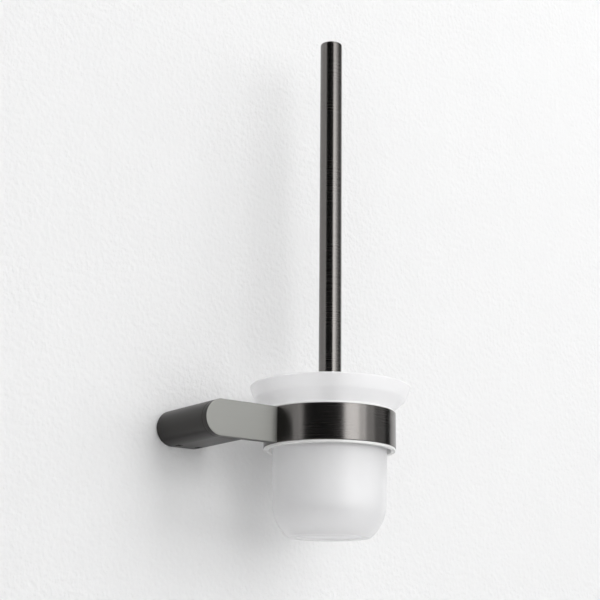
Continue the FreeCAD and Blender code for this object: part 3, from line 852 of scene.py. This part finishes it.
class BRUSHHOLDER_OT_fixings(Operator):
    """Make the bracket, the wall screws and the set screws, and give the arm screws their steel"""

    bl_idname = "brushholder.fixings"
    bl_label = "Bracket and screws"

    def execute(self, context):
        sizes = context.scene.holder_sizes
        self.bracket(sizes)
        self.wall_screws(sizes)
        self.set_screws(sizes)
        arm_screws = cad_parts["arm_screws"]
        arm_screws.data.materials.clear()
        arm_screws.data.materials.append(bright_steel())
        return {"FINISHED"}

    def bracket(self, sizes):
        """Bracket that carries the post, with its screw holes and set screw dimples."""
        lowest, highest = BOXES["wall_bracket"]
        end_r = (highest.z - lowest.z) / 2
        grub_y = (low("grub_screws").y + high("grub_screws").y) / 2
        dimple_r = radius_of_pair("grub_screws", sizes.grub_spacing) + sizes.hole_gap
        bottom, top = lowest.z - PAST, lowest.z + sizes.grub_dimple
        bm = plate(lowest, highest, highest.y, end_r, end_r)
        pull(bm, bm.faces[:], (0, lowest.y - highest.y, 0))
        bmesh.ops.recalc_face_normals(bm, faces=bm.faces)
        soften(bm, lowest.y, sizes.bracket_edge, 3)
        bracket = new_object("wall_bracket_block", bm)
        through = 2 * (highest.y - lowest.y)
        cutters = [screw_hole(sizes, x, lowest.y, 1, sizes.wall_screw_head, sizes.wall_screw,
                              through)
                   for x in both_sides(sizes.screw_spacing)]
        for x in both_sides(sizes.grub_spacing):
            cutters.append(turned([(0, bottom, 0), (dimple_r, bottom, 0), (dimple_r, top, 0),
                                   (0, top, 0)], steps=40, centre=(x, grub_y), hold=False))
        carve(bracket, cutters)
        place(bracket, cast_zinc(), "holder", "cast_zinc", "wall_bracket")

    def wall_screws(self, sizes):
        """Two wood screws with a neck, a thread and a cross recess."""
        start, end = low("wall_screws").y, high("wall_screws").y
        size, neck_end = end - start, -start
        head_r, neck_r = sizes.wall_screw_head, sizes.wall_screw_neck
        cone_end = sizes.screw_rim + head_r - neck_r
        joined = bmesh.new()
        for x in both_sides(sizes.screw_spacing):
            shank = threaded(sizes.wall_screw, sizes.wall_screw_root, sizes.wall_screw_pitch,
                             neck_end, size)
            narrow_end(shank, size - sizes.wall_screw_tip, size, 0.12)
            join(joined, lay_along_y(shank, x, start))
            head = turned([
                (0, 0, 0), (head_r, 0, 0.1 * MM), (head_r, sizes.screw_rim, 0),
                (neck_r, cone_end, 0.4 * MM), (neck_r, neck_end, 0), (0, neck_end, 0)], steps=64)
            recess = cross_cutter(x, start, reach=2.6 * MM, depth=2.0 * MM, slot=1.1 * MM)
            join_carved(joined, "head", lay_along_y(head, x, start), recess)
        made_piece("wall_screw_pair", joined, bright_steel(), "holder", "bright_steel",
                   "wall_screws")

    def set_screws(self, sizes):
        """Two set screws with a hexagon socket."""
        bottom, top = low("grub_screws").z, high("grub_screws").z
        y = (low("grub_screws").y + high("grub_screws").y) / 2
        outer = radius_of_pair("grub_screws", sizes.grub_spacing)
        point = sizes.grub_point
        corner_r = sizes.grub_key / 2 / math.cos(math.pi / 6)
        joined = bmesh.new()
        for x in both_sides(sizes.grub_spacing):
            body = turned([
                (0, bottom, 0), (outer, bottom, 0.25 * MM), (outer, top - point, 0),
                (outer - point, top, 0), (0, top, 0)], steps=48, centre=(x, y))
            socket = bmesh.new()
            bmesh.ops.create_cone(
                socket, cap_ends=True, cap_tris=False, segments=6, radius1=corner_r,
                radius2=corner_r, depth=2 * sizes.grub_socket,
                matrix=Matrix.Translation((x, y, bottom)))
            join_carved(joined, "set", body, socket)
        made_piece("set_screw_pair", joined, black_steel(), "holder", "black_steel",
                   "grub_screws")


# --- Operators: cup -------------------------------------------------------------------------


class BRUSHHOLDER_OT_liner(Operator):
    """Make the white liner between the ring and the cup"""

    bl_idname = "brushholder.liner"
    bl_label = "Liner"

    def execute(self, context):
        sizes = context.scene.holder_sizes
        cup = context.scene.cup_sizes
        bottom, top = low("ring_liner").z, high("ring_liner").z
        ring_bottom, ring_top = low("support_ring").z, high("support_ring").z
        ring_r = radius_of("support_ring")
        bore = ring_r - sizes.ring_wall
        sleeve = bore - cup.liner_gap
        inner = sleeve - cup.liner_wall
        lip = ring_r - cup.liner_inset
        flange = radius_of("ring_liner")
        lip_bottom, flange_top = ring_top + cup.liner_gap, ring_bottom - cup.liner_gap
        slope = math.tan(cup.flare)
        seat = ring_top + cup.seat_inset * slope - cup.seat_gap / math.cos(cup.flare)
        groove_in = (flange + bore - cup.groove_width) / 2
        groove_out = groove_in + cup.groove_width
        groove_top = bottom + cup.groove_depth
        edge, soft = cup.liner_edge, 0.12 * MM
        bm = turned([
            (inner, bottom, edge), (groove_in, bottom, soft), (groove_in, groove_top, 0),
            (groove_out, groove_top, 0), (groove_out, bottom, soft),
            (flange, bottom, edge), (flange, flange_top, 0), (sleeve, flange_top, 0),
            (sleeve, lip_bottom, 0), (lip, lip_bottom, 0), (lip, top, edge),
            (inner + (top - seat) / slope, top, 0), (inner, seat, 0)], steps=160, centre=AXIS)
        made_piece("liner", bm, white_liner(), "seat", "white_liner", "ring_liner")
        return {"FINISHED"}


class BRUSHHOLDER_OT_cup(Operator):
    """Make the frosted glass cup with its flared dish"""

    bl_idname = "brushholder.cup"
    bl_label = "Cup"

    def execute(self, context):
        cup = context.scene.cup_sizes
        wall, slope = cup.wall, math.tan(cup.flare)
        foot_z, rim_z = low("glass_cup").z, high("glass_cup").z
        rim_r = radius_of("support_ring") + cup.overhang
        side_z, floor_z = foot_z + cup.side_rise, foot_z + cup.base

        def underside(radius):
            return high("support_ring").z + (radius - cup.flare_start) * slope

        neck_z = underside(cup.neck)

        def side_r(z):
            return cup.neck - (cup.neck - cup.side) * (neck_z - z) / (neck_z - side_z)

        knuckle_r = rim_r - cup.lean
        knuckle_z = underside(knuckle_r)
        lean = cup.lean / (rim_z - knuckle_z)
        rim_in = wall * math.sqrt(1 + lean * lean)
        flare_up = wall / math.cos(cup.flare)
        in_r = (knuckle_r - rim_in + (flare_up - knuckle_r * slope) * lean) / (1 - slope * lean)
        in_z = knuckle_z + flare_up + (in_r - knuckle_r) * slope
        land, recess_z = cup.foot - cup.foot_land, foot_z + cup.foot_recess
        rim_edge = 0.45 * wall
        bm = turned([
            (0, recess_z, 0), (land - cup.foot_recess, recess_z, 0.9 * MM),
            (land, foot_z, 0.3 * MM), (cup.foot, foot_z, 0.8 * MM),
            (cup.side, side_z, cup.corner), (cup.neck, neck_z, cup.neck_bend),
            (knuckle_r, knuckle_z, cup.knuckle_bend), (rim_r, rim_z, rim_edge),
            (rim_r - rim_in, rim_z, rim_edge), (in_r, in_z, cup.knuckle_bend + wall),
            (cup.neck - wall, neck_z + flare_up - wall * slope, cup.neck_bend + wall),
            (side_r(floor_z) - wall, floor_z, cup.inner_corner), (0, floor_z, 0)],
            steps=cup.steps, centre=AXIS, hold=False)
        made_piece("cup", bm, frosted_glass(), "cup", "frosted_glass", "glass_cup")
        return {"FINISHED"}


# --- Operators: brush -----------------------------------------------------------------------


class BRUSHHOLDER_OT_handle(Operator):
    """Make the handle: tube, end cap, bush and threaded stud"""

    bl_idname = "brushholder.handle"
    bl_label = "Handle"

    def execute(self, context):
        brush = context.scene.brush_sizes
        outer = radius_of("handle_tube")
        inner = outer - brush.tube_wall
        plug = inner - brush.plug_gap
        bottom, seat = low("handle_tube").z, high("handle_tube").z
        bm = turned([(inner, bottom, 0.15 * MM), (outer, bottom, 0.4 * MM), (outer, seat, 0),
                     (inner, seat, 0)], steps=96, centre=AXIS)
        parts = 6
        for k in range(1, parts):
            slice_at(bm, (0, 0, bottom + (seat - bottom) * k / parts), (0, 0, 1))
        made_piece("handle", bm, gunmetal(), "handle", "gunmetal_handle", "handle_tube")
        start, end = low("handle_end_cap").z, high("handle_end_cap").z
        cap = turned([(0, start, 0), (plug, start, 0.5 * MM), (plug, seat, 0), (outer, seat, 0),
                      (outer, end, brush.cap_edge), (0, end, 0)], steps=96, centre=AXIS)
        made_piece("handle_cap", cap, gunmetal(), "handle", "gunmetal_handle",
                   "handle_end_cap")
        start, end = low("handle_bush").z, high("handle_bush").z
        edge = 0.3 * MM
        bush = turned([(brush.bush_hole, start, edge), (plug, start, edge), (plug, end, edge),
                       (brush.bush_hole, end, edge)], steps=64, centre=AXIS)
        made_piece("bush", bush, bright_steel(), "handle", "bright_steel", "handle_bush")
        self.stud(brush)
        return {"FINISHED"}

    def stud(self, brush):
        """Threaded stud with a chamfered tip."""
        tip, top = low("handle_stud").z, high("handle_stud").z
        outer = radius_of("handle_stud")
        stud = threaded(outer, outer - brush.thread_depth, brush.thread_pitch, tip, top, 40)
        for vert in stud.verts:
            reach = outer - 0.8 * MM + (vert.co.z - tip)
            size = vert.co.xy.length
            if size > reach > 0:
                vert.co.x *= reach / size
                vert.co.y *= reach / size
        bmesh.ops.translate(stud, verts=stud.verts, vec=AXIS)
        made_piece("stud", stud, bright_steel(), "handle", "bright_steel", "handle_stud")


class BRUSHHOLDER_OT_washer(Operator):
    """Make the rubber washer under the handle"""

    bl_idname = "brushholder.washer"
    bl_label = "Washer"

    def execute(self, context):
        outer, inner = radius_of("seal_washer"), context.scene.brush_sizes.washer_hole
        bottom, top = low("seal_washer").z, high("seal_washer").z
        edge = 0.35 * MM
        bm = turned([(inner, bottom, edge), (outer, bottom, edge), (outer, top, edge),
                     (inner, top, edge)], steps=72, centre=AXIS, hold=False)
        made_piece("washer", bm, black_rubber(), "washer", "black_rubber", "seal_washer")
        return {"FINISHED"}


class BRUSHHOLDER_OT_head(Operator):
    """Make the brush head: core, rows of tufts and crown"""

    bl_idname = "brushholder.head"
    bl_label = "Brush head"

    def execute(self, context):
        brush = context.scene.brush_sizes
        bottom, top = low("brush_core").z, high("brush_core").z
        collar_r, step = radius_of("brush_core"), top - brush.collar
        hole, mouth = brush.core_hole, 0.5 * MM
        floor = top - brush.core_hole_depth
        bm = turned([
            (0, bottom, 0), (brush.core, bottom, 0.6 * MM), (brush.core, step, 0.5 * MM),
            (collar_r, step, 0.4 * MM), (collar_r, top, 0.8 * MM), (hole + mouth, top, 0),
            (hole, top - mouth, 0), (hole, floor, 0), (0, floor, 0)], steps=96, centre=AXIS)
        made_piece("core", bm, white_plastic(), "brush_head", "white_plastic", "brush_core")
        source = random.Random(11)
        reach = radius_of(ROWS[-1])
        templates = [tuft(brush, source, reach - brush.core) for _ in range(4)]
        for index, node in enumerate(ROWS):
            self.row(brush, source, templates, node, index, reach)
        self.crown(brush, source, templates, reach)
        for mesh in templates:
            bpy.data.meshes.remove(mesh)
        return {"FINISHED"}

    def row(self, brush, source, templates, node, index, reach):
        """One row of tufts, set half a tuft round from the rows next to it."""
        bm = bmesh.new()
        middle = (low(node).z + high(node).z) / 2
        step = math.tau / brush.tufts
        for k in range(brush.tufts):
            turn = step * (k + 0.5 * (index % 2)) + source.uniform(-0.03, 0.03)
            matrix = (Matrix.Translation((AXIS.x, AXIS.y, middle))
                      @ Matrix.Rotation(turn, 4, "Z")
                      @ Matrix.Rotation(source.uniform(0, math.tau), 4, "X"))
            add_tuft(bm, templates[source.randrange(len(templates))], matrix)
        keep_inside(bm, reach, brush.head_corner)
        made_piece(node.replace("bristle_row", "tufts"), bm, bristle_nylon(), "brush_head",
                   "white_bristles", node)

    def crown(self, brush, source, templates, reach):
        """Tufts that fan out from under the core, in rings of a count, a tilt from straight
        down in degrees, a radius in millimetres and a share of the full length."""
        bm = bmesh.new()
        top = high("bristle_crown").z
        rings = ((3, 10, 2.0, 0.36), (8, 48, 6.0, 0.52), (14, 74, 9.0, 0.94))
        for count, tilt, start, size in rings:
            for k in range(count):
                turn = math.tau * (k + 0.25 * count) / count
                tip = math.radians(90 - tilt + source.uniform(-3, 3))
                root = Matrix.Translation((AXIS.x, AXIS.y, top)) @ Matrix.Rotation(turn, 4, "Z")
                matrix = (root @ Matrix.Translation((start * MM, 0, 0))
                          @ Matrix.Rotation(tip, 4, "Y") @ Matrix.Scale(size, 4, (1, 0, 0))
                          @ Matrix.Translation((-brush.core, 0, 0)))
                add_tuft(bm, templates[k % len(templates)], matrix)
        keep_inside(bm, reach, brush.head_corner)
        for vert in bm.verts:
            vert.co.z = min(vert.co.z, top)
        made_piece("tufts_crown", bm, bristle_nylon(), "brush_head", "white_bristles",
                   "bristle_crown")


def tuft(brush, source, size):
    """Mesh of one tuft that starts at the core's radius and spreads along X."""
    bm = bmesh.new()
    golden = math.pi * (3 - math.sqrt(5))
    for k in range(brush.filaments):
        out = math.sqrt((k + 0.5) / brush.filaments)
        turn = golden * k + source.uniform(-0.15, 0.15)
        long = size * (1 - 0.05 * out * out) - source.uniform(0, 0.7) * MM
        aside = Vector((0, math.cos(turn), math.sin(turn)))
        root = aside * (out * brush.tuft_root)
        end = Vector((long, 0, 0))
        tip = end + aside * (out * brush.tuft_tip + source.uniform(-0.35, 0.35) * MM)
        made = bmesh.ops.create_circle(bm, cap_ends=True, segments=4, radius=brush.filament,
                                       matrix=Matrix.Rotation(math.radians(90), 4, "Y"))
        base = made["verts"]
        bmesh.ops.translate(bm, verts=base, vec=root)
        faces = list({f for v in base for f in v.link_faces})
        middle = root.lerp(tip, 0.55) - (tip - end) * 0.1
        last = root
        for point, shrink in ((middle, 1.0), (tip, 0.75)):
            faces = pull(bm, faces, point - last)
            ends = [v for f in faces for v in f.verts]
            bmesh.ops.scale(bm, verts=ends, vec=(shrink,) * 3,
                            space=Matrix.Translation(-point))
            last = point
    bmesh.ops.translate(bm, verts=bm.verts, vec=(brush.core - 0.3 * MM, 0, 0))
    bmesh.ops.recalc_face_normals(bm, faces=bm.faces)
    mesh = bpy.data.meshes.new("tuft")
    bm.to_mesh(mesh)
    bm.free()
    return mesh


def add_tuft(bm, mesh, matrix):
    """Add a copy of a tuft in its place."""
    known = len(bm.verts)
    bm.from_mesh(mesh)
    bm.verts.ensure_lookup_table()
    bmesh.ops.transform(bm, matrix=matrix, verts=bm.verts[known:])


def keep_inside(bm, reach, corner):
    """Draw in bristle tips that would leave the space inside the cup."""
    bottom = low("bristle_crown").z
    for vert in bm.verts:
        vert.co.z = max(vert.co.z, bottom)
        rise = min(vert.co.z - bottom, corner)
        widest = reach - corner + math.sqrt(max(corner ** 2 - (corner - rise) ** 2, 0))
        out = (vert.co - AXIS).xy
        if out.length > widest:
            out *= widest / out.length
            vert.co.x, vert.co.y = AXIS.x + out.x, AXIS.y + out.y


# --- Operators: stage -----------------------------------------------------------------------


STAGE_SIZE = 8.0
WALL_GAP = 0.6 * MM              # between the holder's back and the wall
FLOOR_Z = -1.3
CAMERA_PLACE = (-0.5204, -0.8434, -0.1591)
CAMERA_TURN = (36.36, 14.4, 0.55)    # azimuth to the right, elevation and roll, in degrees
CAMERA_LENS = 85.8
CAMERA_SENSOR = 36


def flat_sheet(name, matrix, material):
    """Square stage sheet."""
    bm = bmesh.new()
    bmesh.ops.create_grid(bm, x_segments=1, y_segments=1, size=STAGE_SIZE / 2, matrix=matrix)
    made = new_object(name, bm)
    made.data.materials.append(material)


def plaster():
    """Pale plaster that is seen only from its front and lets light from behind past."""
    material, tree, shader = new_material("Wall plaster")
    spot = add(tree, "ShaderNodeTexCoord").outputs["Object"]
    fine = stretched_noise(tree, spot, (330, 330, 280), 3.0, 0.55)
    broad = stretched_noise(tree, spot, (26, 26, 12), 3.0)
    height = add(tree, "ShaderNodeMath", {0: fine, 1: broad}, operation="ADD").outputs[0]
    relief = add(tree, "ShaderNodeBump",
                 {"Strength": 1.0, "Distance": 0.9 * MM, "Height": height})
    tree.links.new(relief.outputs[0], shader.inputs["Normal"])
    tint = bpy.context.scene.holder_finish.wall
    two_tones(tree, shader, broad, [c * 0.985 for c in tint], tint)
    shader.inputs["Roughness"].default_value = 0.9
    shader.inputs["Specular IOR Level"].default_value = 0.15
    clear = add(tree, "ShaderNodeBsdfTransparent")
    rays = add(tree, "ShaderNodeLightPath")
    back = add(tree, "ShaderNodeNewGeometry").outputs["Backfacing"]
    either = add(tree, "ShaderNodeMath", {0: rays.outputs["Is Shadow Ray"], 1: back},
                 operation="MAXIMUM").outputs[0]
    blend_shaders(tree, either, shader, clear)
    return material


def floor_paint():
    """Plain pale floor that looks evenly lit far below the lamps."""
    material, tree, shader = new_material("Pale floor")
    spot = add(tree, "ShaderNodeTexCoord").outputs["Object"]
    cloud = stretched_noise(tree, spot, (6, 6, 6), 3.0)
    two_tones(tree, shader, cloud, (0.72, 0.72, 0.72), (0.76, 0.76, 0.76))
    shader.inputs["Roughness"].default_value = 0.8
    glow = add(tree, "ShaderNodeEmission", {"Color": (0.8, 0.8, 0.8, 1)})
    rays = add(tree, "ShaderNodeLightPath")
    part = add(tree, "ShaderNodeMath", {0: rays.outputs["Is Camera Ray"], 1: 0.6},
               operation="MULTIPLY").outputs[0]
    blend_shaders(tree, part, shader, glow)
    return material


def direction(azimuth, elevation):
    """Direction from an azimuth, 0 straight out from the wall and + to the right."""
    a, e = math.radians(azimuth), math.radians(elevation)
    return Vector((math.sin(a) * math.cos(e), -math.cos(a) * math.cos(e), math.sin(e)))


def softbox(name, place_at, aim, width, height, power, shown):
    """Area light with its light, its reflection in gloss, or both."""
    data = bpy.data.lights.new(name, "AREA")
    data.shape = "RECTANGLE"
    data.size, data.size_y = width, height
    data.energy = power
    lamp = bpy.data.objects.new(name, data)
    bpy.context.scene.collection.objects.link(lamp)
    lamp.location = place_at
    lamp.rotation_euler = (place_at - aim).to_track_quat("Z", "Y").to_euler()
    lamp.visible_camera = False
    lamp.visible_glossy = shown != "light"
    lamp.visible_diffuse = lamp.visible_transmission = shown != "gloss"


class BRUSHHOLDER_OT_stage(Operator):
    """Make the wall, the floor, the lights and the camera"""

    bl_idname = "brushholder.stage"
    bl_label = "Stage"

    def execute(self, context):
        scene = context.scene
        upright = Matrix.Rotation(math.radians(90), 4, "X")
        flat_sheet("wall", Matrix.Translation((0, WALL_GAP, 0)) @ upright, plaster())
        flat_sheet("floor", Matrix.Translation((0, 0, FLOOR_Z)), floor_paint())
        self.lamps()
        self.world(scene)
        self.camera(scene)
        scene.view_settings.view_transform = "Standard"
        return {"FINISHED"}

    def lamps(self):
        """Soft lamps: name, azimuth and elevation in degrees, distance, width and height in
        metres, power in watts, and whether they give light, a reflection in gloss, or both."""
        middle = Vector((0.06, -0.03, 0.05))
        for name, azimuth, elevation, far, width, height, power, shown in (
            ("key", 10, 10, 2.6, 1.7, 1.7, 22, "light"),
            ("left_fill", -34, 4, 2.8, 2.4, 2.4, 13, "light"),
            ("right_fill", 52, 6, 2.6, 1.6, 1.6, 10, "light"),
            ("overhead", 20, 60, 2.6, 2.2, 2.0, 31, "both"),
            ("front_strip", 2, 12, 2.6, 1.1, 1.7, 9.8, "gloss"),
            ("wide_strip", 7, 12, 2.6, 1.85, 1.7, 20.5, "gloss"),
            ("right_strip", 34, 14, 2.6, 0.95, 1.7, 4.6, "both"),
            ("far_strip", 57, 14, 2.6, 1.5, 1.7, 2.8, "both"),
            ("rear_fill", 180, 20, 2.0, 1.6, 1.6, 8, "both"),
        ):
            place_at = middle + direction(azimuth, elevation) * far
            softbox(name, place_at, middle, width, height, power, shown)
        softbox("left_wash", Vector((-1.15, -0.8, 0.1)), Vector((-1.15, 0, 0.1)),
                1.0, 1.6, 1, "light")
        softbox("left_card", Vector((-1.6, -0.13, 0.3)), Vector((0.06, -0.08, 0.05)),
                0.22, 1.8, 1.3, "gloss")

    def world(self, scene):
        """Pale surroundings for the camera, a dim studio for everything else."""
        world = bpy.data.worlds.new("Studio")
        scene.world = world
        world.use_nodes = True
        tree = world.node_tree
        pale = next(n for n in tree.nodes if n.type == "BACKGROUND")
        pale.inputs["Color"].default_value = (0.86, 0.86, 0.87, 1)
        room = add(tree, "ShaderNodeBackground", {"Color": (1.0, 1.0, 1.0, 1), "Strength": 0.2})
        dark = add(tree, "ShaderNodeBackground", {"Color": (1.0, 1.0, 1.0, 1), "Strength": 0.01})
        rays = add(tree, "ShaderNodeLightPath")
        seen = add(tree, "ShaderNodeMixShader",
                   {0: rays.outputs["Is Glossy Ray"], 1: room.outputs[0], 2: dark.outputs[0]})
        blend_shaders(tree, rays.outputs["Is Camera Ray"], seen, pale)

    def camera(self, scene):
        """Camera low on the left, looking up and across at the holder."""
        data = bpy.data.cameras.new("camera")
        data.lens = CAMERA_LENS
        data.sensor_width = CAMERA_SENSOR
        camera = bpy.data.objects.new("camera", data)
        scene.collection.objects.link(camera)
        azimuth, elevation, roll = map(math.radians, CAMERA_TURN)
        ahead = Vector((math.sin(azimuth) * math.cos(elevation),
                        math.cos(azimuth) * math.cos(elevation), math.sin(elevation)))
        right = ahead.cross(Vector((0, 0, 1))).normalized()
        up = right.cross(ahead)
        right, up = (right * math.cos(roll) + up * math.sin(roll),
                     up * math.cos(roll) - right * math.sin(roll))
        turn = Matrix((right, up, -ahead)).transposed()
        camera.matrix_world = Matrix.Translation(CAMERA_PLACE) @ turn.to_4x4()
        scene.camera = camera


# --- Add-on ---------------------------------------------------------------------------------


class BRUSHHOLDER_PT_panel(Panel):
    """List of the holder's pieces"""

    bl_label = "Toilet brush holder"
    bl_idname = "BRUSHHOLDER_PT_panel"
    bl_space_type = "VIEW_3D"
    bl_region_type = "UI"
    bl_category = "Brush Holder"

    def draw(self, context):
        for step in STEPS:
            self.layout.operator(step.bl_idname)
        for name in SETTINGS:
            box = self.layout.box()
            group = getattr(context.scene, name)
            box.label(text=group.bl_rna.name)
            for key in group.__annotations__:
                box.prop(group, key)


SETTINGS = {
    "holder_sizes": HolderSizes,
    "cup_sizes": CupSizes,
    "brush_sizes": BrushSizes,
    "holder_finish": FinishSettings,
}
STEPS = (
    BRUSHHOLDER_OT_post,
    BRUSHHOLDER_OT_arm,
    BRUSHHOLDER_OT_ring,
    BRUSHHOLDER_OT_fixings,
    BRUSHHOLDER_OT_liner,
    BRUSHHOLDER_OT_cup,
    BRUSHHOLDER_OT_handle,
    BRUSHHOLDER_OT_washer,
    BRUSHHOLDER_OT_head,
    BRUSHHOLDER_OT_stage,
)
CLASSES = (*SETTINGS.values(), *STEPS, BRUSHHOLDER_PT_panel)


def register():
    """Register the settings, the operators and the panel."""
    for made in CLASSES:
        bpy.utils.register_class(made)
    for name, kind in SETTINGS.items():
        setattr(bpy.types.Scene, name, PointerProperty(type=kind))


def unregister():
    """Undo register."""
    for name in SETTINGS:
        delattr(bpy.types.Scene, name)
    for made in reversed(CLASSES):
        bpy.utils.unregister_class(made)


def main():
    """Build every piece and the stage."""
    register()
    bpy.ops.brushholder.post()
    bpy.ops.brushholder.arm()
    bpy.ops.brushholder.ring()
    bpy.ops.brushholder.fixings()
    bpy.ops.brushholder.liner()
    bpy.ops.brushholder.cup()
    bpy.ops.brushholder.handle()
    bpy.ops.brushholder.washer()
    bpy.ops.brushholder.head()
    bpy.ops.brushholder.stage()


if __name__ == "__main__":
    main()
